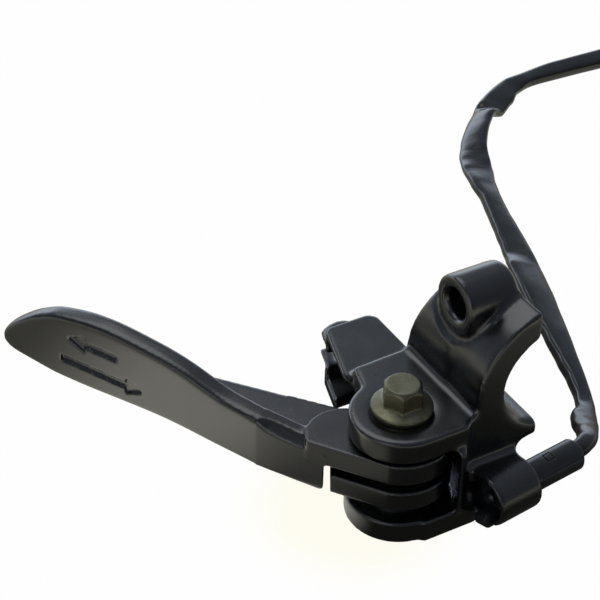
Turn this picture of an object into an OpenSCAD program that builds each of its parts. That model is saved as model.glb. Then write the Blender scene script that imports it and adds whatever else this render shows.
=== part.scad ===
// Parking brake lever for a handlebar, with its cable block and its switch.
// The origin is on the handlebar's axis, at the middle of the saddle.
// The bar runs along Y, the saddle opens to +X and +Z is up.

/* [Handlebar saddle] */
// Diameter of the handlebar
bar_d = 22.2; // [19:0.1:28.6]
// Length of the saddle along the bar
saddle_len = 27; // [20:0.5:36]
// Wall of the saddle round the bar
saddle_wall = 6.9; // [5:0.1:9]
// Distance from the bar's axis to the flat end of the upper arm
parting_gap = 3.8; // [2:0.1:6]
// Distance from the bar's axis to the tip of the lower lip
lip_gap = 2.4; // [1:0.1:4]
// Lean of the saddle's far end
far_lean = 16; // [0:1:25]
// Chamfer at the ends of the saddle's bore
saddle_chamfer = 1; // [0.4:0.1:1.5]
// Distance from the bar's axis to each clamp screw
screw_rise = 15.2; // [14.6:0.1:18]
// Diameter of the clamp screw holes
screw_hole_d = 6.6; // [5:0.1:6.8]
// Diameter of the clamp screw bosses
screw_boss_d = 12.6; // [11:0.1:14]
// Length of the clamp screw bosses
screw_boss_len = 12.6; // [8:0.1:14]

/* [Ears and pivot] */
// Distance across from the bar's axis to the pivot
bar_to_pivot = 30.4; // [28:0.1:34]
// Distance along the bar from the pivot to the saddle's middle
saddle_ahead = 4.5; // [2:0.1:7]
// Height of the bar's axis above the upper ear
bar_over_ear = 3.3; // [0:0.1:6]
// Radius of the upper ear
ear_r = 10.8; // [9:0.1:12]
// Radius of the lower ear
lower_ear_r = 10.9; // [9:0.1:12]
// Thickness of the upper ear
ear_t = 5.6; // [4:0.1:7]
// Thickness of the lower ear
lower_ear_t = 5.4; // [4.5:0.1:7]
// Space between the ears
ear_gap = 15.8; // [15:0.1:20]
// Diameter of the pivot bolt's shank
bolt_d = 6; // [5:0.5:7]
// Diameter of the bolt's flange
bolt_flange_d = 12.8; // [11:0.1:15]
// Thickness of the bolt's flange at its rim
bolt_flange_t = 0.9; // [0.6:0.1:2]
// Width across the flats of the bolt's head
bolt_head_w = 7.7; // [7:0.1:9]
// Height of the bolt's head above the ear
bolt_head_h = 6.8; // [4:0.1:8]
// Wall of the pivot bush
bush_wall = 1.2; // [0.8:0.1:2]
// Width across the flats of the pivot nut
nut_w = 10; // [9:0.5:11]
// Thickness of the pivot nut
nut_t = 3.2; // [2.4:0.1:4]
// Thickness of the washers under the lever
washer_t = 0.8; // [0.5:0.1:1.2]
// Outer diameter of the washers under the lever
washer_d = 13; // [11:0.5:16]

/* [Cable block] */
// Distance from the pivot to the far wall of the cable block
block_len = 33.5; // [28:0.5:40]
// Drop of the block's roof below the upper ear
roof_drop = 2.4; // [1:0.1:4]
// Thickness of the roof and of the lower limb
roof_t = 1.8; // [1:0.1:3]
// Height of the cable block
block_h = 15.1; // [12:0.1:18]
// Turn of the cable's way from the bar's direction
cable_turn = 16.5; // [10:0.5:20]
// Diameter of the barrel that the cable's sheath ends in
barrel_d = 10.6; // [9:0.1:13]
// Length of the barrel behind the far wall
barrel_len = 5.4; // [3:0.1:10]
// Diameter of the seat for the end of the sheath
seat_d = 6.4; // [5:0.1:7]
// Depth of the seat for the end of the sheath
seat_len = 5; // [3:0.5:7]
// Height of the slit that the cable is laid in through
slit_h = 3.8; // [2:0.1:4]
// Diameter of the hole for the inner cable
cable_hole_d = 3; // [2:0.1:4]

/* [Lever] */
// Radius of the lever's eye
eye_r = 11; // [9:0.1:12]
// Thickness of the upper plate
plate_t = 5; // [4:0.1:6]
// Thickness of the lower plate
tongue_t = 4.6; // [3:0.1:6]
// Width of the fork between the plates
fork_w = 2.1; // [1.5:0.1:3]
// Radius of the hub inside the fork
hub_r = 7.6; // [6:0.1:9]
// Distance from the pivot to the end of the tongue
tongue_reach = 15; // [13:0.1:16]
// Distance of the cable's nipple from the pivot
nipple_reach = 10; // [9:0.1:10.4]
// Diameter of the hole for the nipple
nipple_d = 5.2; // [4:0.1:5.6]
// Distance of the raised pad from the pivot
pad_reach = 11; // [9:0.1:12]
// Radius of the raised pad over the nipple
pad_r = 8.5; // [7:0.1:9]
// Length of the blade
blade_len = 81; // [60:1:100]
// Thickness of the blade
blade_root_t = 5; // [4:0.1:7]
// Thickness of the blade at its tip
blade_tip_t = 3.6; // [2:0.1:4]
// Hollow of the blade's face over its length
blade_bow = 1.8; // [0:0.1:4]
// Bend of the blade near its root
blade_bend = 8.6; // [0:0.2:12]
// Gap between the tongue and the blade
blade_gap = 1.4; // [1:0.1:3]
// Thickness of the web behind the blade
web_t = 2.5; // [2:0.1:4]
// Angle that the lever swings through from rest to the stop
swing = 115; // [90:1:118]

/* [Switch] */
// Diameter of the switch's barrel
switch_d = 7; // [6:0.1:8]
// Diameter of the switch's nose
nose_d = 8.5; // [7.5:0.1:9.5]
// Length of the nose in front of the barrel
nose_len = 5.6; // [5:0.1:8.4]
// Length of the barrel behind the nose
barrel_out = 17.2; // [12:0.1:24]
// Outer diameter of the boss that holds the switch
switch_boss_d = 11.6; // [11:0.1:14]
// Length of the boss that holds the switch
switch_boss_len = 11.2; // [9:0.1:12]
// Turn of the switch from square to the bar
switch_turn = 7; // [0:0.5:10]
// Diameter of the plunger
plunger_d = 2.6; // [2:0.1:3.2]
// Travel of the plunger
plunger_travel = 1.5; // [1:0.1:1.8]
// Wire of the plunger's spring
spring_wire = 0.5; // [0.3:0.05:0.7]

/* [Lead] */
// Width of the flat sleeve over the wires
sleeve_w = 7.6; // [5:0.1:9]
// Thickness of the flat sleeve
sleeve_t = 3.2; // [2:0.1:4]
// Radius of the coil at the middle of its turn
coil_r = 39; // [30:1:50]
// Thickness of the strap that ties the coil
tie_t = 0.8; // [0.5:0.1:1.5]
// Width of the strap that ties the coil
tie_w = 3.6; // [2.5:0.1:6]
// Diameter of each wire behind the connector
wire_d = 1.8; // [1.2:0.1:2.4]
// Length of the connector's housing
plug_len = 20; // [14:0.5:30]
// Width of the connector's housing
plug_w = 11; // [9:0.1:16]
// Height of the connector's housing
plug_h = 8; // [6:0.1:12]

/* [Hidden] */
$fn = 64;
eps = 0.01;
running_gap = 0.05;
side_gap = 0.3;
bolt_gap = 0.15;
sink = 0.3;
washer_face = 0.9;
flange_z = washer_face - sink;

cast_black = "#24272b";
zinc = "#9a9885";
steel = "#a8abad";
plastic_black = "#1b1b1d";
brass = "#b8954a";
nylon = "#dedbd0";

// Heights below the upper ear's top
gap_top = -ear_t;
gap_bottom = gap_top - ear_gap;
base = gap_bottom - lower_ear_t;
floor_z = base - bar_over_ear;

// Saddle, seen from the pivot
bar_r = bar_d / 2;
saddle_r = bar_r + saddle_wall;
saddle_near = saddle_ahead - saddle_len / 2;
saddle_far = saddle_ahead + saddle_len / 2;
ridge_x = bar_to_pivot - sqrt(saddle_r ^ 2 - bar_over_ear ^ 2);
wall_x = ridge_x + 1.3;
parting_x = bar_to_pivot - parting_gap;
shoulder_off = [0.6, 1.2];
shoulder_swell = 1;
shoulder_run = 12;
boss_round = 1.2;
front_y = -ear_r;

// Lever, seen from the pivot
lever_top = gap_top - side_gap;
fork_top = lever_top - plate_t;
tongue_top = fork_top - fork_w;
tongue_bottom = tongue_top - tongue_t;
hub_bottom = gap_bottom + 2 * washer_t + running_gap;
flank_angle = 216.5;
flank_reach = eye_r - 0.15;
fork_step = 0.25;
tongue_end_x = -tongue_reach;
tongue_corner = [tongue_end_x, (flank_reach - tongue_end_x * cos(flank_angle)) / sin(flank_angle)];
nipple_angle = 155.8;
nipple = nipple_reach * [cos(nipple_angle), sin(nipple_angle)];
pad = pad_reach * [cos(nipple_angle), sin(nipple_angle)];
tongue_end_angle = 59.5;
bush_r = bolt_d / 2 + bolt_gap / 2 + bush_wall;
pocket_r = eye_r + 0.6;
stop_gap = 0.8;
stop_angle = flank_angle + swing;

// Blade, measured along its face from the root
blade_root = [-15.8, 2.8];
blade_angle = 120.8;
blade_corner = 0.8;
bevel_size = 1.2;
bevel_len = 17;
bevel_fade = 4;
taper_from = 0.75;
blade_step = 3;
bend_at = 16;
heel_r = 1.5;
// Place along the blade, height of its top and height of its bottom, from the upper ear's top
blade_rows = [
  [0, -6.3, -18.1],
  [8, -6.1, -17.9],
  [16, -4.9, -17.5],
  [24, -4.1, -17.2],
  [29, -2.8, -16.9],
  [34, -1.2, -16.5],
  [39, 0, -16.2],
  [44, 0.8, -16.1],
  [53, 1.9, -16.1],
  [60, 1.9, -16],
  [67, 1.1, -15.5],
  [70, 0.1, -15],
  [73, -1.3, -14.3],
  [76, -3.3, -13.6],
  [78.5, -5.3, -12.9],
  [80, -6.9, -12],
  [81, -8.4, -10.8]
];
blade_rows_len = 81;

// Switch, measured along its axis from the boss's outer end
switch_at = [24.2, -13, -18.4];
shoulder_w = -4;
nose_w = shoulder_w - nose_len;
boss_right_w = -1.2;
boss_left_w = boss_right_w - switch_boss_len;
lug_angle = -15;
lug_r = 5.6;
lug_w = 3;
lug_left_w = boss_left_w - 1.8;
lug_len = 5.4;
lug_end_r = 1.6;
lug_slot = 1.4;
switch_end_w = shoulder_w + barrel_out;
switch_gap = 0.1;
chamber_r = switch_d / 2 - 0.8;
chamber_front_w = nose_w + 4.5;
plug_front_w = switch_end_w - 3.2;
plunger_r = plunger_d / 2;
plunger_tip_w = nose_w - plunger_travel - 0.3;
collar_t = 1;
collar_r = chamber_r - 0.2;
bridge_t = 0.6;
bridge_w = chamber_front_w + collar_t;
spring_front_w = bridge_w + bridge_t;
spring_back_w = spring_front_w + 5;
spring_r = 1.1;
spring_turns = 5;
contact_y = 1.9;
seal_w = nose_w + 2;
seal_r = 0.6;

// Lead, in the part's own frame
coil_bottom = floor_z + tie_t + 0.1;
coil_h = 2 * sleeve_t + 0.2;
coil_at = [156, 88.5];
tie_angle = -40;
sleeve_route = [
  [7, -15.9, -21.7], [10, -15.5, -21.8], [13.3, -13.9, -22.7], [16.8, -10.3, -24.7], [20.3, -4.9, -27],
  [23.9, 1.5, -28.2], [27.7, 9.6, -28.4], [31.3, 18.2, -28.4], [35, 27.3, -28.4], [38.6, 36.7, -28.4],
  [42, 46.6, -28.4], [45.2, 56.8, -28.4], [48.2, 66.8, -28.4], [51.4, 76.2, -28.4],
  [54.8, 85.4, -28.4], [58.2, 94.4, -28.4], [61.2, 101.4, -28.4], [65.6, 108, -28.4],
  [71.2, 114.2, -28.4], [77.6, 119.6, -28.4], [83.6, 123.2, -28.4], [89.4, 126, -28.4],
  [96, 128.2, -28.4], [104.8, 129, -28.4], [114, 128.9, -28.4], [124.4, 128.4, -28.3],
  [135, 127.9, -28], [146, 127.5, -27.7], [156, 127.5, -27.5]
];
wire_route = [
  [156, 49.5, -24.6], [150, 50.2, -24.6], [145, 53, -25.2], [141.6, 57.6, -26.2], [140.6, 63, -26.6],
  [141.6, 68.4, -26.3], [144, 73.5, -26.1]
];
plug_at = wire_route[len(wire_route) - 1];
plug_turn = 63.4;

// Moves a shape from the pivot's frame into the part's frame
module from_pivot() {
  translate([-bar_to_pivot, -saddle_ahead, -bar_over_ear]) children();
}

// Stands a shape along the switch's axis, with its origin at the boss's outer end
module along_switch() {
  translate(switch_at) rotate([0, 0, switch_turn]) rotate([0, 90, 0]) children();
}

// Stands a shape along the cable's way, with its origin at the barrel's outer end
module along_cable() {
  translate([8.2, block_len + barrel_len - 1.4, gap_top - 4.8])
    rotate([0, 0, -cable_turn]) rotate([-90, 0, 0]) children();
}

module ring(outer, inner, h) {
  difference() {
    cylinder(r = outer, h = h);
    translate([0, 0, -1]) cylinder(r = inner, h = h + 2);
  }
}

module hexagon(width, h) {
  cylinder(d = width / cos(30), h = h, $fn = 6);
}

function unit(v) = v / norm(v);
function tangent(p, i) = unit(p[min(i + 1, len(p) - 1)] - p[max(i - 1, 0)]);
function across(t) = unit([-t[1], t[0], 0]);
function oval(p, t, w, h, sides) = [
  for (k = [0:sides - 1])
    p + across(t) * w / 2 * cos(360 * k / sides) + cross(t, across(t)) * h / 2 * sin(360 * k / sides)
];

// Joins rings of points into one closed skin
module loft(rings) {
  n = len(rings[0]);
  last = len(rings) - 1;
  points = [for (r = rings) for (p = r) p];
  sides = [
    for (i = [0:last - 1])
      for (k = [0:n - 1])
        [i * n + k, (i + 1) * n + k, (i + 1) * n + (k + 1) % n, i * n + (k + 1) % n]
  ];
  first_cap = [for (k = [0:n - 1]) k];
  last_cap = [for (k = [n - 1:-1:0]) last * n + k];
  polyhedron(points, concat(sides, [first_cap, last_cap]), convexity = 6);
}

module tube(path, w, h, sides) {
  loft([for (i = [0:len(path) - 1]) oval(path[i], tangent(path, i), w, h, sides)]);
}

// Smooth value between two rows of a table
function mix4(a, b, c, d, u) =
  b + 0.5 * u * (c - a + u * (2 * a - 5 * b + 4 * c - d + u * (3 * (b - c) + d - a)));
function row_at(rows, i) = rows[max(0, min(len(rows) - 1, i))];
function smooth_rows(rows, steps) = concat(
  [
    for (i = [0:len(rows) - 2])
      for (j = [0:steps - 1])
        mix4(row_at(rows, i - 1), rows[i], rows[i + 1], row_at(rows, i + 2), j / steps)
  ],
  [rows[len(rows) - 1]]
);

// Perch

module saddle_profile() {
  lip_r = bar_r + 3.1;
  intersection() {
    difference() {
      circle(r = saddle_r);
      circle(r = bar_r);
    }
    polygon([
      [-saddle_r - 1, saddle_r + 1],
      [-parting_gap, saddle_r + 1],
      [-parting_gap, 0],
      [-lip_gap, -bar_r + 2],
      [-lip_gap, -lip_r],
      [-lip_gap - 3.4, -lip_r - 0.4],
      [-lip_gap - 5, -saddle_r + 1.4],
      [-saddle_r - 1, -saddle_r - 1]
    ]);
  }
}

// Fuller outer wall on the pivot's side, which swells out behind the near rim
module shoulder() {
  intersection() {
    translate([shoulder_off[0], shoulder_off[1], -saddle_len / 2]) {
      cylinder(r = saddle_r + shoulder_swell, h = saddle_len - shoulder_run);
      translate([0, 0, saddle_len - shoulder_run])
        cylinder(r1 = saddle_r + shoulder_swell, r2 = saddle_r - norm(shoulder_off) - 0.4, h = shoulder_run);
    }
    translate([-saddle_r - 2, -bar_over_ear, -saddle_len / 2])
      cube([saddle_r - 9, saddle_r + 6, saddle_len]);
  }
}

module saddle() {
  difference() {
    translate([bar_to_pivot, saddle_ahead, bar_over_ear]) rotate([90, 0, 0]) {
      linear_extrude(saddle_len, center = true) saddle_profile();
      shoulder();
    }
    translate([0, saddle_far, 0]) rotate([far_lean, 0, 0]) cube([60, 30, 60]);
    screw_bosses(screw_boss_d + 3.4, parting_x - screw_boss_len - 6, 12.4);
  }
}

// Wall that joins the ears to the saddle
module body_block() {
  rotate([90, 0, 0]) translate([0, 0, -saddle_far + 2])
    linear_extrude(saddle_far - 2 - saddle_near) polygon([
      [8, 0],
      [wall_x, 0],
      [bar_to_pivot - 11, gap_top - 2.4],
      [bar_to_pivot - 8.4, bar_over_ear - saddle_r + 2.6],
      [bar_to_pivot - 10.4, bar_over_ear - saddle_r - 1.4],
      [wall_x, base],
      [8, base]
    ]);
}

module upper_ear() {
  translate([0, 0, gap_top]) linear_extrude(ear_t) {
    circle(r = ear_r);
    polygon([
      [0, front_y],
      [ridge_x - 3.5, front_y],
      [ridge_x, front_y + 2.9],
      [wall_x, front_y + 2.9],
      [wall_x, saddle_far - 0.8],
      [ridge_x - 2, saddle_far - 1],
      [-1.5, saddle_far - 1.4],
      [-3.4, ear_r - 1.2],
      [0, 0]
    ]);
  }
}

module lower_ear() {
  translate([0, 0, base]) linear_extrude(lower_ear_t) {
    circle(r = lower_ear_r);
    polygon([
      [-0.6, -lower_ear_r - 1],
      [wall_x - 1.4, -lower_ear_r - 1],
      [wall_x, saddle_near],
      [wall_x, saddle_far - 2],
      [0, saddle_far - 2],
      [-3.4, lower_ear_r - 1.3],
      [0, 0]
    ]);
  }
}

// Edge that the lever's flank comes to rest against
module stop_wall() {
  reach = pocket_r + 0.2;
  translate([0, 0, gap_bottom - eps]) linear_extrude(ear_gap + 2 * eps) polygon([
    [(reach + sin(stop_angle) * 12.6) / cos(stop_angle), -12.6],
    [8, -12.6],
    [11, -8],
    [(reach + sin(stop_angle) * 8) / cos(stop_angle), -8]
  ]);
}

// Room for the lever's eye, its tongue and its flank at the end of the swing
module lever_pocket() {
  reach = eye_r + stop_gap;
  translate([0, 0, gap_bottom]) linear_extrude(ear_gap) {
    circle(r = pocket_r);
    polygon([
      [0, 0],
      reach * [cos(stop_angle), sin(stop_angle)],
      [(reach + sin(stop_angle) * 16) / cos(stop_angle), -16],
      [-6, -16]
    ]);
  }
}

module cable_block() {
  slope = tan(cable_turn);
  left = -3;
  left_y = saddle_far;
  top = -roof_drop;
  bottom = top - block_h;
  corner = 1.5;
  outline = [
    [left + 0.4, left_y - 1.8],
    [left, left_y],
    [left + (block_len - 1.2 - left_y) * slope, block_len - 1.2],
    [left + (block_len - left_y) * slope + 0.8, block_len],
    [wall_x - corner, block_len],
    [wall_x, block_len - corner],
    [wall_x, 12],
    [0, 12]
  ];
  translate([0, 0, top - roof_t]) linear_extrude(roof_t) polygon(outline);
  translate([0, 0, bottom]) linear_extrude(roof_t + 1) intersection() {
    polygon(outline);
    translate([-10, left_y + 5.6]) square(40);
  }
  translate([0, 0, bottom]) linear_extrude(block_h) intersection() {
    polygon(outline);
    union() {
      translate([wall_x - 4.4, 0]) square(40);
      translate([-10, block_len - 2]) square(40);
    }
  }
  along_cable() translate([0, 0, -barrel_len - 2]) cylinder(d = barrel_d, h = barrel_len + 2);
}

module cable_way() {
  along_cable() {
    translate([0, 0, -seat_len]) cylinder(d = seat_d, h = seat_len + 1);
    translate([0, 0, -14]) cylinder(d = cable_hole_d, h = 15);
    translate([-20, -slit_h / 2, -14]) cube([20, slit_h, 15]);
  }
}

module screw_bosses(d, from, len, end_d = 0) {
  for (side = [-1, 1])
    translate([from, saddle_ahead, bar_over_ear + side * screw_rise])
      rotate([0, 90, 0]) cylinder(d1 = d, d2 = end_d > 0 ? end_d : d, h = len);
}

module switch_boss() {
  r = switch_boss_d / 2;
  along_switch() translate([0, 0, boss_left_w]) linear_extrude(switch_boss_len) {
    circle(r = r);
    translate([-r, 0]) square([2 * r, 7]);
  }
}

module switch_way() {
  along_switch() {
    translate([0, 0, shoulder_w - 1]) cylinder(d = switch_d + 2 * switch_gap, h = 10);
    translate([0, 0, boss_left_w - 0.5])
      cylinder(d = nose_d + 2 * switch_gap, h = shoulder_w - boss_left_w + 0.5);
    rotate([0, 0, lug_angle]) translate([0, -lug_w / 2 - switch_gap, lug_left_w])
      cube([12, lug_w + 2 * switch_gap, lug_len + lug_slot]);
  }
}

module perch() {
  color(cast_black) from_pivot() difference() {
    union() {
      difference() {
        union() {
          body_block();
          upper_ear();
          lower_ear();
        }
        lever_pocket();
      }
      stop_wall();
      saddle();
      screw_bosses(screw_boss_d, parting_x - screw_boss_len, screw_boss_len - boss_round);
      screw_bosses(screw_boss_d, parting_x - boss_round - eps, boss_round + eps, screw_boss_d - 2 * boss_round);
      cable_block();
      switch_boss();
    }
    translate([bar_to_pivot, saddle_near - 1, bar_over_ear]) rotate([-90, 0, 0])
      cylinder(r = bar_r, h = saddle_len + 2);
    translate([bar_to_pivot, saddle_near - eps, bar_over_ear]) rotate([-90, 0, 0])
      cylinder(r1 = bar_r + saddle_chamfer, r2 = bar_r, h = saddle_chamfer);
    translate([bar_to_pivot, saddle_far + eps, bar_over_ear]) rotate([90, 0, 0])
      cylinder(r1 = bar_r + saddle_chamfer, r2 = bar_r, h = saddle_chamfer);
    screw_bosses(screw_hole_d, parting_x - screw_boss_len - eps, screw_boss_len + 6);
    screw_bosses(screw_hole_d + 1.6, parting_x - screw_boss_len - eps, 0.8, screw_hole_d);
    cable_way();
    switch_way();
    translate([0, 0, base - 1]) cylinder(d = bolt_d + 2 * bolt_gap, h = -base + 2);
    translate([0, 0, -sink]) cylinder(d = bolt_flange_d + 1, h = 3);
    translate([0, 0, base - 1]) hexagon(nut_w + 0.2, nut_t + 1.3);
  }
}

module pivot_bolt() {
  color(zinc) from_pivot() {
    difference() {
      union() {
        translate([0, 0, base + 0.4]) cylinder(d = bolt_d, h = -base);
        translate([0, 0, -sink]) cylinder(d = bolt_flange_d - 1, h = washer_face + eps);
        translate([0, 0, flange_z]) cylinder(d = bolt_flange_d, h = bolt_flange_t);
        translate([0, 0, flange_z + bolt_flange_t - eps])
          cylinder(d1 = bolt_flange_d, d2 = bolt_head_w, h = 0.9);
        translate([0, 0, flange_z]) hexagon(bolt_head_w, bolt_head_h - flange_z);
      }
      translate([0, 0, bolt_head_h]) difference() {
        translate([0, 0, -2]) cylinder(d = bolt_head_w * 2, h = 3);
        translate([0, 0, -8.5]) cylinder(d1 = bolt_head_w + 16.2, d2 = bolt_head_w - 0.8, h = 8.5);
      }
    }
  }
}

module pivot_bush() {
  color(steel) from_pivot() translate([0, 0, gap_bottom])
    ring(bush_r, bolt_d / 2 + bolt_gap / 2, ear_gap);
}

module pivot_nut() {
  color(zinc) from_pivot() translate([0, 0, base + 0.3]) difference() {
    hexagon(nut_w, nut_t);
    translate([0, 0, -1]) cylinder(d = bolt_d, h = nut_t + 2);
  }
}

module friction_washer() {
  color(steel) from_pivot() translate([0, 0, gap_bottom])
    ring(washer_d / 2, bush_r + running_gap, washer_t);
}

// Spring washer with three waves
module wave_washer() {
  steps = 36;
  thick = 0.4;
  inner = bush_r + running_gap;
  outer = washer_d / 2;
  height = washer_t - thick - running_gap;
  ends = [[inner, 0], [outer, 0], [outer, thick], [inner, thick]];
  points = [
    for (i = [0:steps - 1])
      for (e = ends)
        [e[0] * cos(i * 360 / steps), e[0] * sin(i * 360 / steps),
          e[1] + height * (1 + cos(i * 1080 / steps)) / 2]
  ];
  faces = [
    for (i = [0:steps - 1])
      for (k = [0:3])
        [i * 4 + k, i * 4 + (k + 1) % 4, ((i + 1) % steps) * 4 + (k + 1) % 4, ((i + 1) % steps) * 4 + k]
  ];
  color(steel) from_pivot() translate([0, 0, gap_bottom + washer_t + running_gap / 2])
    polyhedron(points, faces);
}

// Lever

module flank_side() {
  rotate(flank_angle) translate([flank_reach - 60, -60]) square([60, 120]);
}

module upper_plate() {
  foot = (eye_r + 1) * [cos(flank_angle), sin(flank_angle)];
  translate([0, 0, fork_top]) linear_extrude(plate_t) intersection() {
    union() {
      circle(r = eye_r);
      translate(pad) circle(r = pad_r);
      polygon([[0, 0], foot, foot + 12 * [sin(flank_angle), -cos(flank_angle)], pad]);
    }
    flank_side();
  }
}

module tongue() {
  translate([0, 0, tongue_bottom]) linear_extrude(tongue_t) intersection() {
    union() {
      circle(r = eye_r);
      polygon([
        [0, 0],
        (eye_r + 1) * [cos(flank_angle), sin(flank_angle)],
        tongue_corner + [cos(flank_angle), sin(flank_angle)],
        tongue_corner,
        tongue_corner + 7 * [cos(tongue_end_angle), sin(tongue_end_angle)],
        [-8, eye_r - 0.6],
        [-3, eye_r - 0.4]
      ]);
    }
    flank_side();
  }
}

function blade_point(s) =
  blade_root + s * [cos(blade_angle), sin(blade_angle)]
  + (4 * blade_bow * (s / blade_len) * (1 - s / blade_len)
    - tan(blade_bend) * (min(s, bend_at) - bend_at * s / blade_len)) * [sin(blade_angle), -cos(blade_angle)];
function blade_thick(s) =
  blade_root_t + (blade_tip_t - blade_root_t) * max(0, (s / blade_len - taper_from) / (1 - taper_from));

// One section of the blade: a rectangle with rounded corners, the upper front one cut to a flat facet at the root
function blade_ring(row) =
  let (
    s = row[0] * blade_len / blade_rows_len,
    t = blade_thick(s),
    back = [sin(blade_angle), -cos(blade_angle)],
    r = min(blade_corner, t / 2 - 0.1, (row[1] - row[2]) / 2 - 0.1),
    cut = max(0, min(1, (bevel_len - s) / bevel_fade)),
    f = r + bevel_size * cut,
    flat = 1 - (1 - cos(45)) * cut,
    top = row[1],
    bottom = row[2],
    corners = [
      [t - r, top - r, 0, r, 1], [t - r, bottom + r, 270, r, 1], [r, bottom + r, 180, r, 1],
      [f, top - f, 90, f, flat]
    ]
  )
  [
    for (c = corners)
      for (a = [90, 45, 0])
        let (q = a == 45 ? c[3] * c[4] : c[3], p = blade_point(s) + (c[0] + q * cos(c[2] + a)) * back)
          [p[0], p[1], c[1] + q * sin(c[2] + a)]
  ];

module blade() {
  difference() {
    loft([for (row = smooth_rows(blade_rows, blade_step)) blade_ring(row)]);
    translate([tongue_corner[0], tongue_corner[1], fork_top + fork_step - 20]) rotate([0, 0, tongue_end_angle])
      translate([-20, -40, 0]) cube([40, 40 + blade_gap, 20]);
    translate([tongue_corner[0], tongue_corner[1], blade_rows[0][2] + heel_r]) rotate([0, 0, tongue_end_angle])
      translate([-20, blade_gap + heel_r, 0]) difference() {
        translate([0, -2 * heel_r, -2 * heel_r]) cube([40, 2 * heel_r, 2 * heel_r]);
        translate([-1, 0, 0]) rotate([0, 90, 0]) cylinder(r = heel_r, h = 42);
      }
  }
}

module web() {
  back = [[-2.5, eye_r - 0.4], [-23, 35.3], [-35, 48.6]];
  translate([0, 0, fork_top + 2 * fork_step]) linear_extrude(web_t) polygon(concat(
    [[0, 0]],
    back,
    [for (s = [52, 40, 26, 12, 2]) blade_point(s) + 1.4 * [sin(blade_angle), -cos(blade_angle)]]
  ));
}

module lever() {
  color(cast_black) from_pivot() difference() {
    union() {
      translate([0, 0, hub_bottom]) cylinder(r = hub_r, h = lever_top - hub_bottom);
      upper_plate();
      tongue();
      web();
      blade();
    }
    translate([0, 0, hub_bottom - 1]) cylinder(r = bush_r + running_gap, h = ear_gap);
    translate([nipple[0], nipple[1], tongue_bottom - 2]) cylinder(d = nipple_d, h = lever_top - tongue_bottom);
  }
}

// Switch

module switch_body() {
  color(plastic_black) from_pivot() along_switch() difference() {
    union() {
      translate([0, 0, nose_w]) cylinder(d = nose_d, h = nose_len - switch_gap);
      translate([0, 0, shoulder_w - 1]) cylinder(d = switch_d, h = switch_end_w - shoulder_w + 0.4);
      translate([0, 0, switch_end_w - 0.6 - eps])
        cylinder(d1 = switch_d, d2 = switch_d - 1.2, h = 0.6);
      rotate([0, 0, lug_angle]) translate([lug_r - lug_end_r, -lug_w / 2, lug_left_w + lug_end_r]) {
        rotate([-90, 0, 0]) cylinder(r = lug_end_r, h = lug_w);
        translate([-lug_end_r, 0, 0]) cube([2 * lug_end_r, lug_w, lug_len - lug_end_r]);
      }
    }
    translate([0, 0, nose_w - 1]) cylinder(r = plunger_r + running_gap, h = 10);
    translate([0, 0, chamber_front_w]) cylinder(r = chamber_r, h = switch_end_w - chamber_front_w + 1);
    translate([0, 0, seal_w - seal_r]) cylinder(r = plunger_r + running_gap + 2 * seal_r, h = 2 * seal_r);
  }
}

module switch_plunger() {
  color(plastic_black) from_pivot() along_switch() {
    translate([0, 0, plunger_tip_w + 0.5]) cylinder(r = plunger_r, h = chamber_front_w - plunger_tip_w);
    translate([0, 0, plunger_tip_w]) cylinder(r1 = plunger_r - 0.5, r2 = plunger_r, h = 0.5 + eps);
    translate([0, 0, chamber_front_w + running_gap]) cylinder(r = collar_r, h = collar_t - running_gap);
  }
}

module plunger_seal() {
  color(plastic_black) from_pivot() along_switch() translate([0, 0, seal_w])
    rotate_extrude() translate([plunger_r + running_gap + seal_r, 0]) circle(r = seal_r, $fn = 24);
}

module contact_bridge() {
  color(brass) from_pivot() along_switch() translate([0, 0, bridge_w]) cylinder(r = collar_r, h = bridge_t);
}

module plunger_spring() {
  steps = spring_turns * 10;
  height = spring_back_w - spring_front_w - spring_wire;
  path = [
    for (i = [0:steps])
      [spring_r * cos(i * 36), spring_r * sin(i * 36), spring_front_w + spring_wire / 2 + height * i / steps]
  ];
  color(steel) from_pivot() along_switch() tube(path, spring_wire, spring_wire, 8);
}

// Fixed contacts that the bridge closes on, and the block that carries them
module contact_pins() {
  front = bridge_w + bridge_t + plunger_travel + running_gap;
  color(brass) from_pivot() along_switch() {
    translate([0, 0, spring_back_w]) cylinder(r = chamber_r - running_gap, h = 1.4);
    for (side = [-1, 1])
      translate([-0.6, side * contact_y - 0.35, front])
        cube([1.2, 0.7, plug_front_w - front]);
  }
}

module switch_plug() {
  color(plastic_black) from_pivot() along_switch() translate([0, 0, plug_front_w])
    cylinder(r = chamber_r, h = switch_end_w - plug_front_w - 0.2);
}

// Lead

module lead_sleeve() {
  color(plastic_black) tube(sleeve_route, sleeve_w, sleeve_t, 10);
}

module lead_coil() {
  color(plastic_black) translate([coil_at[0], coil_at[1], coil_bottom])
    rotate_extrude() translate([coil_r - sleeve_w / 2, 0]) square([sleeve_w, coil_h]);
}

module coil_tie() {
  room = 0.1;
  color(plastic_black) translate([coil_at[0], coil_at[1], 0]) rotate([0, 0, tie_angle])
    translate([coil_r - sleeve_w / 2, -tie_w / 2, coil_bottom]) difference() {
      translate([-tie_t - room, 0, -tie_t])
        cube([sleeve_w + 2 * (tie_t + room), tie_w, coil_h + 2 * tie_t + room]);
      translate([-room, -1, 0]) cube([sleeve_w + 2 * room, tie_w + 2, coil_h + room]);
    }
}

module lead_wires() {
  color(plastic_black)
    for (side = [-1, 1])
      tube([
        for (i = [0:len(wire_route) - 1])
          wire_route[i] + side * (wire_d / 2 + 0.1) * across(tangent(wire_route, i))
      ], wire_d, wire_d, 8);
}

module at_plug() {
  translate([plug_at[0], plug_at[1], floor_z]) rotate([0, 0, plug_turn]) children();
}

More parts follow.
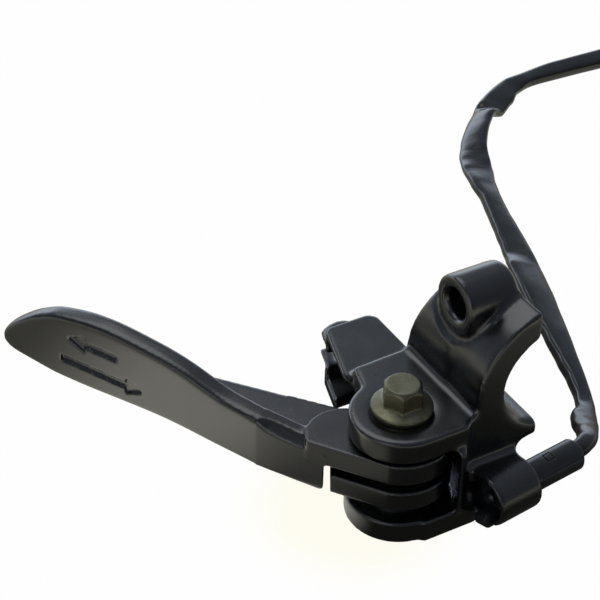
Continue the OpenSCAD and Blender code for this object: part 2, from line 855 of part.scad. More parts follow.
module connector_housing() {
  wall = 1.2;
  color(nylon) at_plug() difference() {
    union() {
      translate([0, -plug_w / 2, 0]) cube([plug_len, plug_w, plug_h]);
      translate([2, -plug_w / 2 - 0.8, 0]) cube([2, plug_w + 1.6, plug_h]);
    }
    translate([plug_len / 2, wall - plug_w / 2, wall]) cube([plug_len, plug_w - 2 * wall, plug_h - 2 * wall]);
    for (side = [-1, 1])
      translate([-1, side * (wire_d / 2 + 0.1), plug_h / 2]) rotate([0, 90, 0])
        cylinder(d = wire_d, h = plug_len);
  }
}

module connector_lock() {
  color(nylon) at_plug() translate([6, -2.5, plug_h]) {
    cube([2.5, 5, 1.2]);
    translate([2.5 - eps, 0, 0.4]) cube([7, 5, 0.8]);
  }
}

module connector_pins() {
  color(brass) at_plug()
    for (side = [-1, 1])
      translate([2, side * (wire_d / 2 + 0.1), plug_h / 2]) rotate([0, 90, 0])
        cylinder(d = wire_d - 0.1, h = plug_len - 4);
}

perch();
pivot_bolt();
pivot_bush();
pivot_nut();
friction_washer();
wave_washer();
lever();
switch_body();
switch_plunger();
plunger_seal();
contact_bridge();
plunger_spring();
contact_pins();
switch_plug();
lead_sleeve();
lead_coil();
coil_tie();
lead_wires();
connector_housing();
connector_lock();
connector_pins();
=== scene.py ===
"""Looks of a handlebar parking brake lever: painted castings, zinc bolt, moulded switch and its sleeved lead."""
import math

import bpy
from mathutils import Matrix, Vector


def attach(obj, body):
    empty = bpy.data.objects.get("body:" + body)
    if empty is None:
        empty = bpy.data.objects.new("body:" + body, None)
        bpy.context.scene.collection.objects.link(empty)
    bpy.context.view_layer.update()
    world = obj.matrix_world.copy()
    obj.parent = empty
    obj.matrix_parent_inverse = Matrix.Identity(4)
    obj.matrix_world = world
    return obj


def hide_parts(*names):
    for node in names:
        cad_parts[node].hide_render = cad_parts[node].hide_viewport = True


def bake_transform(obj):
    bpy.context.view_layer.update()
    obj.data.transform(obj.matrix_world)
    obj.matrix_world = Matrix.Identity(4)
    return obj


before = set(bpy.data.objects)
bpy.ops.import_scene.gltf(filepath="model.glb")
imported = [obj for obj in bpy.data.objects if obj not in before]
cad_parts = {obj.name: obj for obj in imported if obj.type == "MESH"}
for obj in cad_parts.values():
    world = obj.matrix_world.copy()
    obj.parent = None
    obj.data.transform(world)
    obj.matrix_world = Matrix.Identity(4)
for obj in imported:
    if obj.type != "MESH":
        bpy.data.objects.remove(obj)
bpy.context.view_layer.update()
MM = 0.001
UP = Vector((0, 0, 1))

# Where the pivot's axis meets the top of the upper ear, from the origin on the handlebar's axis, in mm
PIVOT = Vector((-30.4, -4.5, -3.3))
FLOOR_Z = -30.1


def level_way(degrees):
    """A level way, turned by so many degrees from the x axis."""
    return Vector((math.cos(math.radians(degrees)), math.sin(math.radians(degrees)), 0))


def ease(u):
    """From 0 to 1 with a soft start and end."""
    return u * u * (3 - 2 * u)


# Camera, at the photograph's angle

# Azimuth, elevation and roll in degrees
CAMERA_TURN = (-30.5, 36.55, 1.43)
# The picture's middle, right of the pivot and above it in the picture's plane, and the way back to the eye, in mm
AIM_RIGHT, AIM_UP, EYE_BACK = -21.04, 21.57, 362.5
LENS, SENSOR = 108, 36


def place_camera():
    """Looks down at the lever from the front left, with the slight roll of a hand-held camera."""
    azimuth, elevation, roll = (math.radians(x) for x in CAMERA_TURN)
    level = math.cos(elevation)
    back = Vector((math.sin(azimuth) * level, -math.cos(azimuth) * level, math.sin(elevation)))
    right = Vector((math.cos(azimuth), math.sin(azimuth), 0))
    up = back.cross(right)
    target = PIVOT + AIM_RIGHT * right + AIM_UP * up
    eye = (target + EYE_BACK * back) * MM
    rolled_right = math.cos(roll) * right + math.sin(roll) * up
    rolled_up = math.cos(roll) * up - math.sin(roll) * right
    turn = Matrix((rolled_right, rolled_up, back)).transposed()
    data = bpy.data.cameras.new("camera")
    data.lens, data.sensor_width = LENS, SENSOR
    data.clip_start, data.clip_end = 0.01, 20
    camera = bpy.data.objects.new("camera", data)
    camera.matrix_world = Matrix.Translation(eye) @ turn.to_4x4()
    bpy.context.scene.collection.objects.link(camera)
    bpy.context.scene.camera = camera


# Materials


def linear(colour):
    """An sRGB hex colour as the linear RGBA of a socket."""
    parts = [int(colour[i:i + 2], 16) / 255 for i in (1, 3, 5)]
    return tuple(c / 12.92 if c <= 0.04045 else ((c + 0.055) / 1.055) ** 2.4 for c in parts) + (1.0,)


def add(tree, kind, inputs=None, **settings):
    """Adds a node. Settings are its own properties, and inputs go by name or number to a value or to a socket."""
    node = tree.nodes.new(kind)
    for key, value in settings.items():
        setattr(node, key, value)
    for key, value in (inputs or {}).items():
        if isinstance(value, bpy.types.NodeSocket):
            tree.links.new(value, node.inputs[key])
        else:
            node.inputs[key].default_value = value
    return node


def noise(tree, place, size_mm, detail, roughness=0.5):
    """Noise whose blotches are about that many millimetres across."""
    inputs = {"Vector": place, "Scale": 1 / (size_mm * MM), "Detail": detail, "Roughness": roughness}
    return add(tree, "ShaderNodeTexNoise", inputs).outputs[0]


def remap(tree, value, span, levels, smooth=False):
    """Takes a value from the two ends of its span to the two levels, and holds them beyond."""
    inputs = {"Value": value, "From Min": span[0], "From Max": span[1], "To Min": levels[0], "To Max": levels[1]}
    kind = "SMOOTHSTEP" if smooth else "LINEAR"
    return add(tree, "ShaderNodeMapRange", inputs, interpolation_type=kind).outputs[0]


def ramp(tree, value, low, high):
    """A colour between two, each given as the value that it belongs to and its hex."""
    node = add(tree, "ShaderNodeValToRGB", {"Fac": value})
    for element, (position, colour) in zip(node.color_ramp.elements, (low, high)):
        element.position, element.color = position, linear(colour)
    return node.outputs[0]


def mix_colour(tree, amount, first, second):
    return add(tree, "ShaderNodeMix", {0: amount, 6: first, 7: second}, data_type="RGBA").outputs[2]


def bump(tree, height, strength, distance_mm):
    inputs = {"Height": height, "Strength": strength, "Distance": distance_mm * MM}
    return add(tree, "ShaderNodeBump", inputs).outputs[0]


def new_material(name):
    """An empty material, its tree and the object's coordinates in it."""
    material = bpy.data.materials.new(name)
    material.use_nodes = True
    tree = material.node_tree
    tree.nodes.clear()
    return material, tree, add(tree, "ShaderNodeTexCoord").outputs["Object"]


def surface(tree, inputs):
    """Ends a material's tree in one shader."""
    shader = add(tree, "ShaderNodeBsdfPrincipled", inputs)
    add(tree, "ShaderNodeOutputMaterial", {"Surface": shader.outputs[0]})


def satin_black_paint():
    # Die-cast zinc alloy under baked satin black paint. The paint flows into a faint orange peel, is a little
    # thicker and glossier in some places than others, and carries a fine haze of dust specks.
    material, tree, place = new_material("satin_black_paint")
    cloud = noise(tree, place, 9, 3)
    tone = ramp(tree, cloud, (0.3, "#08090b"), (0.7, "#0d0e11"))
    dust = remap(tree, noise(tree, place, 0.45, 4), (0.68, 0.82), (0, 0.06))
    surface(tree, {
        "Base Color": mix_colour(tree, dust, tone, linear("#6b7078")),
        "Roughness": remap(tree, cloud, (0.25, 0.75), (0.22, 0.3)),
        "Normal": bump(tree, noise(tree, place, 0.7, 2), 0.5, 0.03),
        "IOR": 1.75,
    })
    return material


def zinc_plate():
    # Steel with olive chromate over zinc plating. The passivated film clouds in millimetre patches and is nicked
    # by the spanner to bare zinc, and the cold-headed steel under it is faintly grained.
    material, tree, place = new_material("olive_zinc_plate")
    cloud = noise(tree, place, 2.6, 5, 0.6)
    tone = ramp(tree, cloud, (0.32, "#605f4a"), (0.68, "#787664"))
    worn = remap(tree, noise(tree, place, 1.1, 6, 0.75), (0.6, 0.68), (0, 0.6))
    surface(tree, {
        "Base Color": mix_colour(tree, worn, tone, linear("#b3b2a2")),
        "Roughness": remap(tree, cloud, (0.3, 0.7), (0.5, 0.36)),
        "Normal": bump(tree, noise(tree, place, 0.3, 3), 0.4, 0.03),
        "Metallic": 1.0,
    })
    return material


def plain_metal(name, dark, light, rough, grain_mm):
    # Turned or drawn metal, bright, with fine marks of its making and a thin film of handling.
    material, tree, place = new_material(name)
    grain = noise(tree, place, grain_mm, 4)
    surface(tree, {
        "Base Color": ramp(tree, grain, (0.35, dark), (0.65, light)),
        "Roughness": remap(tree, grain, (0.3, 0.7), (rough, rough + 0.14)),
        "Metallic": 1.0,
    })
    return material


def moulded_plastic(name, dark, light, rough, grit_mm):
    # Injection-moulded plastic with the fine sparked texture of its mould and slow changes of gloss.
    material, tree, place = new_material(name)
    cloud = noise(tree, place, 5, 2)
    surface(tree, {
        "Base Color": ramp(tree, cloud, (0.3, dark), (0.7, light)),
        "Roughness": remap(tree, cloud, (0.3, 0.7), (rough - 0.05, rough + 0.05)),
        "Normal": bump(tree, noise(tree, place, grit_mm, 3), 0.4, 0.02),
        "IOR": 1.5,
    })
    return material


def pvc_sleeve():
    # Soft black PVC tubing, extruded thin and pressed flat. It shines, wrinkles finely across its length, and its
    # plasticiser leaves a faint bloom.
    material, tree, place = new_material("black_pvc_sleeve")
    bloom = noise(tree, place, 7, 3)
    surface(tree, {
        "Base Color": ramp(tree, bloom, (0.3, "#0d0e0f"), (0.7, "#141517")),
        "Roughness": remap(tree, bloom, (0.3, 0.7), (0.17, 0.27)),
        "Normal": bump(tree, noise(tree, place, 3, 2), 0.3, 0.2),
        "IOR": 1.53,
    })
    return material


PAINT = satin_black_paint()
ZINC = zinc_plate()
STEEL = plain_metal("bright_turned_steel", "#8f9296", "#b4b7ba", 0.28, 0.4)
BRASS = plain_metal("rolled_brass", "#a5843f", "#c9a55b", 0.26, 0.4)
SWITCH_NYLON = moulded_plastic("black_glass_filled_nylon", "#1a1c1f", "#242629", 0.3, 0.25)
NATURAL_NYLON = moulded_plastic("natural_nylon", "#cfcbbd", "#dedacd", 0.4, 0.4)
RUBBER = moulded_plastic("black_nitrile_rubber", "#161616", "#1f1f1f", 0.6, 0.2)
WIRE_PVC = moulded_plastic("black_pvc_wire", "#151518", "#1d1d21", 0.34, 0.8)
PVC = pvc_sleeve()


# Pieces


def activate(piece):
    bpy.ops.object.select_all(action="DESELECT")
    piece.select_set(True)
    bpy.context.view_layer.objects.active = piece


def modify(piece, kind, **settings):
    """Adds one modifier and applies it."""
    activate(piece)
    modifier = piece.modifiers.new(kind.lower(), kind)
    for key, value in settings.items():
        setattr(modifier, key, value)
    bpy.ops.object.modifier_apply(modifier=modifier.name)


def edit_whole(piece, operator, **settings):
    """Runs one edit-mode operator on the whole of a piece."""
    activate(piece)
    bpy.ops.object.mode_set(mode="EDIT")
    bpy.ops.mesh.select_all(action="SELECT")
    operator(**settings)
    bpy.ops.object.mode_set(mode="OBJECT")


def copy_of(node, name):
    """A copy of a CAD node's shape, with its loose triangles merged."""
    piece = bpy.data.objects.new(name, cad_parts[node].data.copy())
    bpy.context.scene.collection.objects.link(piece)
    edit_whole(piece, bpy.ops.mesh.remove_doubles, threshold=0.002 * MM)
    return piece


def coat(shape, material):
    shape.materials.clear()
    shape.materials.append(material)


def dress(piece, material, body, slot, *nodes):
    """Gives a finished piece its material and its body, and hides the nodes that it stands for."""
    coat(piece.data, material)
    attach(piece, body)
    if nodes:
        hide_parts(*nodes)


def round_off(piece, voxel_mm, passes):
    """Rounds a piece's edges as a casting's or moulding's are."""
    modify(piece, "REMESH", mode="VOXEL", voxel_size=voxel_mm * MM)
    modify(piece, "SMOOTH", factor=0.5, iterations=passes)
    activate(piece)
    bpy.ops.object.shade_smooth()


def fill_corners(piece, voxel_mm, radius_mm):
    """Fillets a casting's inner corners: swollen until they close up, then drawn back as far."""
    for strength in (radius_mm, -radius_mm):
        modify(piece, "REMESH", mode="VOXEL", voxel_size=voxel_mm * MM)
        modify(piece, "DISPLACE", strength=strength * MM, mid_level=0.0, direction="NORMAL")


def soften(piece, inside, passes):
    """Rounds one region of a piece further. The region is given as a test of a place in mm."""
    group = piece.vertex_groups.new(name="soft")
    group.add([v.index for v in piece.data.vertices if inside(v.co / MM)], 1.0, "REPLACE")
    modify(piece, "SMOOTH", factor=0.5, iterations=passes, vertex_group=group.name)


def bevelled_copy(node, name, width_mm):
    """A node's shape with its sharp edges broken by a small bevel."""
    piece = copy_of(node, name)
    edit_whole(piece, bpy.ops.mesh.dissolve_limited, angle_limit=math.radians(0.5))
    modify(piece, "BEVEL", width=width_mm * MM, segments=2, limit_method="ANGLE", angle_limit=math.radians(32))
    activate(piece)
    bpy.ops.object.shade_smooth_by_angle(angle=math.radians(35))
    return piece


def select_faces(piece, way):
    """Selects the faces that look along a way, in edit mode."""
    bpy.ops.mesh.select_all(action="DESELECT")
    bpy.ops.object.mode_set(mode="OBJECT")
    for face in piece.data.polygons:
        face.select = face.normal.dot(way) > 0.9
    bpy.ops.object.mode_set(mode="EDIT")


def extrude(step_mm):
    """Draws the selected faces out by a step, in edit mode."""
    bpy.ops.mesh.extrude_region_move(TRANSFORM_OT_translate={"value": [x * MM for x in step_mm]})


def cutter_box(size_mm):
    """A block for a cut, in edit mode, with its middle at the origin."""
    bpy.ops.object.select_all(action="DESELECT")
    bpy.ops.mesh.primitive_cube_add(size=1)
    bpy.ops.object.mode_set(mode="EDIT")
    bpy.ops.mesh.select_mode(type="FACE")
    bpy.ops.transform.resize(value=[x * MM for x in size_mm])
    return bpy.context.active_object


def cut(piece, cutter, place_mm, turn):
    """Takes the cutter, set at its place and turn, out of the piece."""
    bpy.ops.object.mode_set(mode="OBJECT")
    cutter.matrix_world = Matrix.Translation(Vector(place_mm) * MM) @ turn.to_4x4()
    modify(piece, "BOOLEAN", object=cutter, operation="DIFFERENCE", solver="EXACT")
    bpy.data.objects.remove(cutter)


# Castings and pivot

PERCH_VOXEL, LEVER_VOXEL, BOLT_VOXEL = 0.36, 0.28, 0.16
# The blade's face: its root from the origin in mm, the way to its tip and the way out of it
BLADE_ROOT = PIVOT + Vector((-15.8, 2.8, 0))
BLADE_WAY = level_way(120.8)
BLADE_OUT = Vector((-BLADE_WAY.y, BLADE_WAY.x, 0))
# Where along it the thin sheet of the blade begins
SHEET_FROM = 16
# The two arrows in it: the middle's place along and up the blade, the length in mm, and whether it points to the tip
ARROWS = [(57.5, -4.3, 12.5, True), (55.5, -10.6, 21, False)]
ARROW_SHAFT, ARROW_HEAD, ARROW_DEEP = 1.6, 4.4, 1.7
# How far the arrow's cutter lies behind the face's plane where the face is dished, in mm, and the arrow's slope
ARROW_SINK, ARROW_SLOPE = 0.76, 0.07
# The corner inside which the front of the saddle's upper end lies, in mm
RIM_END = Vector((-7, -6, 8))


def engrave_arrow(lever, along_mm, height_mm, length_mm, towards_tip):
    """A plain arrow sunk in the blade's face, a shaft that widens into a pointed head."""
    arrow = cutter_box((length_mm - ARROW_HEAD, ARROW_DEEP, ARROW_SHAFT))
    select_faces(arrow, Vector((1, 0, 0)))
    extrude((0.05, 0, 0))
    bpy.ops.transform.resize(value=(1, 1, ARROW_HEAD / ARROW_SHAFT))
    extrude((ARROW_HEAD, 0, 0))
    bpy.ops.transform.resize(value=(1, 1, 0.05))
    sign = 1 if towards_tip else -1
    way = (sign * BLADE_WAY + sign * ARROW_SLOPE * UP).normalized()
    out = sign * BLADE_OUT
    turn = Matrix((way, out, way.cross(out))).transposed()
    place = BLADE_ROOT + along_mm * BLADE_WAY - ARROW_SINK * BLADE_OUT + height_mm * UP - ARROW_HEAD / 2 * way
    cut(lever, arrow, place, turn)


def on_blade(place):
    """True on the blade, apart from its arrows."""
    along, height = (place - BLADE_ROOT).dot(BLADE_WAY), place.z - BLADE_ROOT.z
    on_arrow = any(abs(along - a) < length / 2 + 1 and abs(height - h) < 3 for a, h, length, _ in ARROWS)
    return along > SHEET_FROM and not on_arrow


def on_rim_end(place):
    """True at the front of the saddle's upper end."""
    return place.x > RIM_END.x and place.y < RIM_END.y and place.z > RIM_END.z


def make_castings():
    perch = copy_of("perch", "perch_casting")
    fill_corners(perch, PERCH_VOXEL, 0.9)
    round_off(perch, PERCH_VOXEL, 14)
    soften(perch, on_rim_end, 30)
    dress(perch, PAINT, "body", "cast", "perch")
    lever = copy_of("lever", "lever_casting")
    for arrow in ARROWS:
        engrave_arrow(lever, *arrow)
    round_off(lever, LEVER_VOXEL, 8)
    soften(lever, on_blade, 40)
    dress(lever, PAINT, "lever", "cast", "lever")


def make_pivot():
    bolt = copy_of("pivot_bolt", "pivot_bolt_plated")
    round_off(bolt, BOLT_VOXEL, 3)
    dress(bolt, ZINC, "body", "zinc", "pivot_bolt")
    nut = bevelled_copy("pivot_nut", "pivot_nut_plated", 0.25)
    dress(nut, ZINC, "body", "zinc", "pivot_nut")


# Switch

SWITCH_VOXEL = 0.13
# The barrel's axis, a place on it from the origin, and its radius in mm
SWITCH_AT = PIVOT + Vector((24.2, -13, -18.4))
SWITCH_AXIS = level_way(7)
SWITCH_R = 3.5
# Marks of the moulding: the place along the axis in mm, the angle from the top in degrees, the cut's size in mm and,
# where the mark is only an outline, the outline's width
EJECTOR_MARK = (4.9, 4.7, (2.2, 2.2, 0.7), 0.32)
PARTING_GROOVE = (6.6, 63, (12, 0.3, 0.7), None)


def make_barrel():
    """The switch's barrel, with the square ejector mark and the parting groove of its moulding."""
    barrel = copy_of("switch_body", "switch_barrel")
    side = Vector((SWITCH_AXIS.y, -SWITCH_AXIS.x, 0))
    for along, angle, size, outline in (EJECTOR_MARK, PARTING_GROOVE):
        out = math.cos(math.radians(angle)) * UP + math.sin(math.radians(angle)) * side
        mark = cutter_box(size)
        if outline:
            select_faces(mark, UP)
            bpy.ops.mesh.inset(thickness=outline * MM)
            extrude((0, 0, -0.5))
        turn = Matrix((SWITCH_AXIS, out.cross(SWITCH_AXIS), out)).transposed()
        cut(barrel, mark, SWITCH_AT + along * SWITCH_AXIS + SWITCH_R * out, turn)
    round_off(barrel, SWITCH_VOXEL, 2)
    dress(barrel, SWITCH_NYLON, "body", "switch", "switch_body")


def make_spring():
    """The plunger's spring, copied from the CAD with its place baked into its shape."""
    spring = copy_of("plunger_spring", "plunger_spring_coil")
    bpy.ops.object.shade_smooth_by_angle(angle=math.radians(50))
    coat(spring.data, STEEL)
    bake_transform(spring)
    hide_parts("plunger_spring")


# Lead

SLEEVE_W, SLEEVE_T = 7.6, 3.2
SLEEVE_STEP, SLEEVE_SIDES = 0.6, 28
# Route of the flat sleeve in mm, from the switch along the floor to the coil
SLEEVE_ROUTE = [
    (7, -15.9, -21.7), (10, -15.5, -21.8), (13.3, -13.9, -22.7), (16.8, -10.3, -24.7), (20.3, -4.9, -27),
    (23.9, 1.5, -28.2), (27.7, 9.6, -28.4), (31.3, 18.2, -28.4), (35, 27.3, -28.4), (38.6, 36.7, -28.4),
    (42, 46.6, -28.4), (45.2, 56.8, -28.4), (48.2, 66.8, -28.4), (51.4, 76.2, -28.4), (54.8, 85.4, -28.4),
    (58.2, 94.4, -28.4), (61.2, 101.4, -28.4), (65.6, 108, -28.4), (71.2, 114.2, -28.4), (77.6, 119.6, -28.4),
    (83.6, 123.2, -28.4), (89.4, 126, -28.4), (96, 128.2, -28.4), (104.8, 129, -28.4), (114, 128.9, -28.4),
    (124.4, 128.4, -28.3), (135, 127.9, -28), (146, 127.5, -27.7), (156, 127.5, -27.5),
]
# The sleeve's folds: the length along it, then its width, thickness, turn in degrees, boxiness and shift to the left
# there. Lengths are in mm.
SLEEVE_FOLDS = [
    (0, 4, 3.4, 0, 2.4, 0.5), (6, 4.2, 3.6, 6, 2.6, 1.2), (11, 4.8, 3.9, 10, 2.6, 1.7),
    (16, 5.8, 4.1, 13, 2.7, 1.9), (20, 5.8, 4.1, 14, 2.8, 1.7), (26, 4, 3.6, 6, 3, 0.45),
    (30, 3.7, 3.6, 9, 3.3, 0.3), (36, 4.1, 3.7, 12, 3.4, 0.5), (42, 5, 3.7, 15, 3.5, 0.9),
    (51, 6.4, 3.6, 18, 3.5, 1.25), (60, 8, 3.3, 20, 3.4, 1.7), (70, 9.2, 3, 24, 3, 1.5),
    (79, 9.3, 2.9, 22, 3, 1.35), (86, 7.5, 3.3, 6, 3.2, 0.75), (92, 7, 3.3, 9, 3.3, 0.45),
    (98, 6.4, 3.4, 12, 3.4, 0.33), (104, 5.9, 3.4, 15, 3.4, 0.4), (111, 5.7, 3.4, 18, 3.4, 0.43),
    (118, 7.1, 3.1, 15, 3.2, 0.75), (126, 8.4, 2.7, 8, 3, 0.45), (131, 8.2, 2.6, -4, 2.9, 0.1),
    (138, 7.4, 2.6, -18, 2.8, -0.1), (148, 7.2, 2.6, -28, 2.8, -0.25), (154, 7.2, 2.6, -32, 2.8, -0.3),
    (160, 7.9, 2.7, 10, 3, -0.8), (167, 7.5, 2.8, 12, 3, -0.45), (174, 6, 2.8, 14, 3, 0.5),
    (180, 5, 3.2, 2, 3.6, 0.3), (192, 5.8, 3.3, 8, 3.8, 0.1), (208, 6.3, 3.3, 8, 3.6, 0.1),
    (240, 7.6, 3.2, 0, 2.6, 0),
]
# The coil's middle and radius in mm, its turns, and the steps in one turn
COIL_AT, COIL_R, COIL_TURNS, COIL_STEPS = (156, 88.5), 39, 1.5, 60
# The heights of its two layers in mm, and the degrees between which it climbs from one to the other
COIL_Z, COIL_CLIMB = (-27.55, -24.25), (275, 325)
# Route of the two wires in mm, from the end of the sleeve to the connector
WIRE_ROUTE = [
    (156, 49.5, -24.6), (150, 50.2, -24.6), (145, 53, -25.2), (141.6, 57.6, -26.2), (140.6, 63, -26.6),
    (141.6, 68.4, -26.3), (144, 73.5, -26.1),
]
WIRE_D, WIRE_GAP, WIRE_STEP, WIRE_SIDES = 1.8, 0.2, 1, 12


def smooth_route(points, step):
    """Points about a step apart on one smooth curve through the route."""
    points = [Vector(p) for p in points]
    ends = [2 * points[0] - points[1], *points, 2 * points[-1] - points[-2]]
    found = []
    for a, b, c, d in zip(ends, ends[1:], ends[2:], ends[3:]):
        count = max(1, round((c - b).length / step))
        for k in range(count):
            u = k / count
            found.append(b + 0.5 * u * (c - a + u * (2 * a - 5 * b + 4 * c - d + u * (3 * (b - c) + d - a))))
    return found + [points[-1]]


def coil_points():
    """One and a half turns, the second lying on the first."""
    found = []
    count = int(COIL_TURNS * COIL_STEPS)
    for k in range(1, count + 1):
        turned = 360 * COIL_TURNS * k / count
        climbed = ease(min(1, max(0, (turned - COIL_CLIMB[0]) / (COIL_CLIMB[1] - COIL_CLIMB[0]))))
        angle = math.radians(90 - turned)
        x, y = COIL_AT[0] + COIL_R * math.cos(angle), COIL_AT[1] + COIL_R * math.sin(angle)
        found.append(Vector((x, y, COIL_Z[0] + (COIL_Z[1] - COIL_Z[0]) * climbed)))
    return found


def ways_at(path, i):
    """The way along a path at one of its points, and the level way to its left."""
    along = (path[min(i + 1, len(path) - 1)] - path[max(i - 1, 0)]).normalized()
    return along, Vector((-along.y, along.x, 0)).normalized()


def skin(name, path, sections):
    """A closed tube along the path. Each point has a section, a ring of (across, up) offsets in mm."""
    verts, faces = [], []
    count = len(sections[0])
    for i, (point, section) in enumerate(zip(path, sections)):
        along, side = ways_at(path, i)
        up = along.cross(side)
        verts += [(point + a * side + b * up) * MM for a, b in section]
    for i in range(len(path) - 1):
        for k in range(count):
            n = (k + 1) % count
            faces.append((i * count + k, i * count + n, (i + 1) * count + n, (i + 1) * count + k))
    faces.append(tuple(range(count - 1, -1, -1)))
    faces.append(tuple(range((len(path) - 1) * count, len(path) * count)))
    mesh = bpy.data.meshes.new(name)
    mesh.from_pydata(verts, [], faces)
    piece = bpy.data.objects.new(name, mesh)
    bpy.context.scene.collection.objects.link(piece)
    edit_whole(piece, bpy.ops.mesh.normals_make_consistent, inside=False)
    bpy.ops.object.shade_smooth()
    return piece


def folded_section(run):
    """The sleeve's section at a length along it: pressed flat, turned and creased between the folds."""
    fold = SLEEVE_FOLDS[-1][1:]
    for before, after in zip(SLEEVE_FOLDS, SLEEVE_FOLDS[1:]):
        if before[0] <= run < after[0]:
            u = ease((run - before[0]) / (after[0] - before[0]))
            fold = [x + u * (y - x) for x, y in zip(before[1:], after[1:])]
            break
    width, thick, turn, boxy, shift = fold
    turn = math.radians(turn)
    points = []
    for k in range(SLEEVE_SIDES):
        c, s = math.cos(2 * math.pi * k / SLEEVE_SIDES), math.sin(2 * math.pi * k / SLEEVE_SIDES)
        across = width / 2 * math.copysign(abs(c) ** (2 / boxy), c)
        up = thick / 2 * math.copysign(abs(s) ** (2 / boxy), s)
        points.append((across * math.cos(turn) - up * math.sin(turn), across * math.sin(turn) + up * math.cos(turn)))
    # No fold goes lower than the flat sleeve lies
    lift = max(0, -SLEEVE_T / 2 - min(up for across, up in points))
    return [(across + shift, up + lift) for across, up in points]


def make_sleeve():
    path = smooth_route(SLEEVE_ROUTE, SLEEVE_STEP) + coil_points()
    sections, run = [folded_section(0)], 0
    for a, b in zip(path, path[1:]):
        run += (b - a).length
        sections.append(folded_section(run))
    sleeve = skin("lead_sleeve_creased", path, sections)
    bpy.ops.object.shade_smooth_by_angle(angle=math.radians(42))
    dress(sleeve, PVC, "body", "sleeve", "lead_sleeve", "lead_coil")
    return sleeve, path


def make_wire(name, left):
    """One of the two wires, so far to the left of their route."""
    middle = smooth_route(WIRE_ROUTE, WIRE_STEP)
    path = [point + left * ways_at(middle, i)[1] for i, point in enumerate(middle)]
    angles = [2 * math.pi * k / WIRE_SIDES for k in range(WIRE_SIDES)]
    ring = [(WIRE_D / 2 * math.cos(angle), WIRE_D / 2 * math.sin(angle)) for angle in angles]
    wire = skin(name, path, [ring] * len(path))
    dress(wire, WIRE_PVC, "body", "wire")
    return wire, path


def make_lead():
    sleeve, path = make_sleeve()
    apart = (WIRE_D + WIRE_GAP) / 2
    wires = [make_wire("lead_wire_left", -apart), make_wire("lead_wire_right", apart)]
    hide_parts("lead_wires")
    housing = bevelled_copy("connector_housing", "connector_shell", 0.35)
    dress(housing, NATURAL_NYLON, "body", "nylon", "connector_housing")
    latch = bevelled_copy("connector_lock", "connector_latch", 0.2)
    dress(latch, NATURAL_NYLON, "body", "nylon", "connector_lock")
    strap = bevelled_copy("coil_tie", "coil_strap", 0.25)
    dress(strap, SWITCH_NYLON, "body", "switch", "coil_tie")


def dress_nodes():
    """Finishes of the pieces that stay as the CAD has them."""
    finishes = {
        STEEL: ("pivot_bush", "friction_washer", "wave_washer"),
        BRASS: ("contact_bridge", "contact_pins", "connector_pins"),
        SWITCH_NYLON: ("switch_plunger", "switch_plug"),
        RUBBER: ("plunger_seal",),
    }
    for material, nodes in finishes.items():
        for node in nodes:
            coat(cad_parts[node].data, material)


# Studio

FLOOR_SIZE = 6
WHITE = (1, 1, 1, 1)
# How much of the paper's white is its own light, so that only a trace of the shadow is left
OWN_LIGHT = 0.985


def measure(tree, operation, first, second):
    """A number got from two vectors."""
    return add(tree, "ShaderNodeVectorMath", {0: first, 1: second}, operation=operation).outputs["Value"]


def spot(tree, place, middle_mm, reach_mm, levels, smooth=True):
    """A level that goes by the distance from a place on the paper."""
    apart = measure(tree, "DISTANCE", place, [x * MM for x in middle_mm])
    return remap(tree, apart, [x * MM for x in reach_mm], levels, smooth)


def total(tree, values):
    result = values[0]
    for value in values[1:]:
        result = add(tree, "ShaderNodeMath", {0: result, 1: value}, operation="ADD").outputs[0]
    return result


def mix_shader(tree, amount, first, second):
    return add(tree, "ShaderNodeMixShader", {0: amount, 1: first, 2: second}).outputs[0]


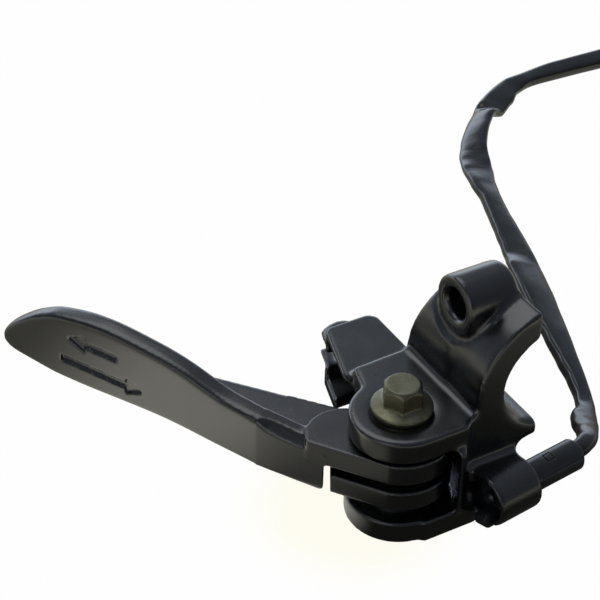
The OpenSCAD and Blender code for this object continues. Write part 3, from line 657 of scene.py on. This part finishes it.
def make_floor():
    """A pale sweep of paper that shows white to the eye, keeps a trace of the soft shadow under the lever with a
    painted warm shade there, and in reflections glows with painted light and shade.
    """
    bpy.ops.object.select_all(action="DESELECT")
    bpy.ops.mesh.primitive_plane_add(size=FLOOR_SIZE, location=(0, 0, FLOOR_Z * MM))
    floor = bpy.context.active_object
    floor.name = "paper_floor"
    material, tree, place = new_material("white_paper")
    ray = add(tree, "ShaderNodeLightPath").outputs
    paper = add(tree, "ShaderNodeBsdfDiffuse", {"Color": linear("#f4f1e4")}).outputs[0]
    # To the eye the paper is white, with a faint warm painted shade under the lever
    painted_shade_amount = spot(tree, place, (-38, 0, 0), (12, 27), (1, 0))
    painted_shade_tint = mix_colour(tree, painted_shade_amount, WHITE, linear("#fffdf2"))
    white = add(tree, "ShaderNodeEmission", {"Color": painted_shade_tint, "Strength": 1.0}).outputs[0]
    to_eye = mix_shader(tree, OWN_LIGHT, paper, white)
    # In reflections the paper glows with painted light: painted bright pools beside the blade, beside the ears and
    # in front, painted shade dark around the lever, and pale further out
    painted_glow_beside_blade = spot(tree, place, (-88, 28, 0), (10, 44), (1.36, 0.05))
    painted_shade_near_lever = spot(tree, place, (-31, -6, 0), (46, 220), (0, 0.85), smooth=False)
    painted_glow_beside_ears = spot(tree, place, (-47, 2, 0), (3, 14), (0.95, 0))
    painted_glow_in_front = spot(tree, place, (-70, -16, 0), (6, 22), (0.4, 0))
    level = total(tree, (painted_glow_beside_blade, painted_shade_near_lever, painted_glow_beside_ears, painted_glow_in_front))
    # The painted glow, warm white, that only reflections see on the paper
    painted_reflection_glow = add(tree, "ShaderNodeEmission", {"Color": linear("#fffdf0"), "Strength": level}).outputs[0]
    to_others = mix_shader(tree, ray["Is Glossy Ray"], paper, painted_reflection_glow)
    both = mix_shader(tree, ray["Is Camera Ray"], to_others, to_eye)
    add(tree, "ShaderNodeOutputMaterial", {"Surface": both})
    coat(floor.data, material)


def make_world():
    """A room that is white to the eye, and to the lever bright at the back and dim at the front."""
    world = bpy.data.worlds.new("white_room")
    bpy.context.scene.world = world
    world.use_nodes = True
    tree = world.node_tree
    tree.nodes.clear()
    ray = add(tree, "ShaderNodeLightPath").outputs
    around = add(tree, "ShaderNodeTexCoord").outputs["Generated"]
    to_back = measure(tree, "DOT_PRODUCT", around, (0.45, 0.75, 0.48))
    at_back = remap(tree, to_back, (-0.6, 1), (0.15, 0.44))
    # Brightest low down, where the paper sweeps up
    to_sweep = measure(tree, "DOT_PRODUCT", around, (0.1, 0.8, -0.6))
    on_sweep = remap(tree, to_sweep, (0.36, 0.66), (0, 2.4), smooth=True)
    level = total(tree, (at_back, on_sweep))
    dim = add(tree, "ShaderNodeBackground", {"Color": linear("#d5e0f0"), "Strength": level}).outputs[0]
    white = add(tree, "ShaderNodeBackground", {"Color": WHITE, "Strength": 1.0}).outputs[0]
    add(tree, "ShaderNodeOutputWorld", {"Surface": mix_shader(tree, ray["Is Camera Ray"], dim, white)})


def add_softbox(name, place_mm, aim_mm, size_mm, power):
    data = bpy.data.lights.new(name, "AREA")
    data.shape = "RECTANGLE"
    data.size, data.size_y = size_mm[0] * MM, size_mm[1] * MM
    data.energy = power
    lamp = bpy.data.objects.new(name, data)
    lamp.location = Vector(place_mm) * MM
    lamp.rotation_mode = "QUATERNION"
    lamp.rotation_quaternion = (Vector(aim_mm) - Vector(place_mm)).to_track_quat("-Z", "Y")
    bpy.context.scene.collection.objects.link(lamp)


def make_studio():
    make_floor()
    add_softbox("overhead_softbox", (-60, 300, 520), (-20, 40, -10), (520, 420), 0.9)
    add_softbox("left_softbox", (-480, -260, 200), (-40, 0, -10), (380, 300), 0.3)
    make_world()
    bpy.context.scene.view_settings.view_transform = "Standard"


place_camera()
make_castings()
make_pivot()
make_barrel()
make_spring()
make_lead()
dress_nodes()
make_studio()

bpy.context.view_layer.update()
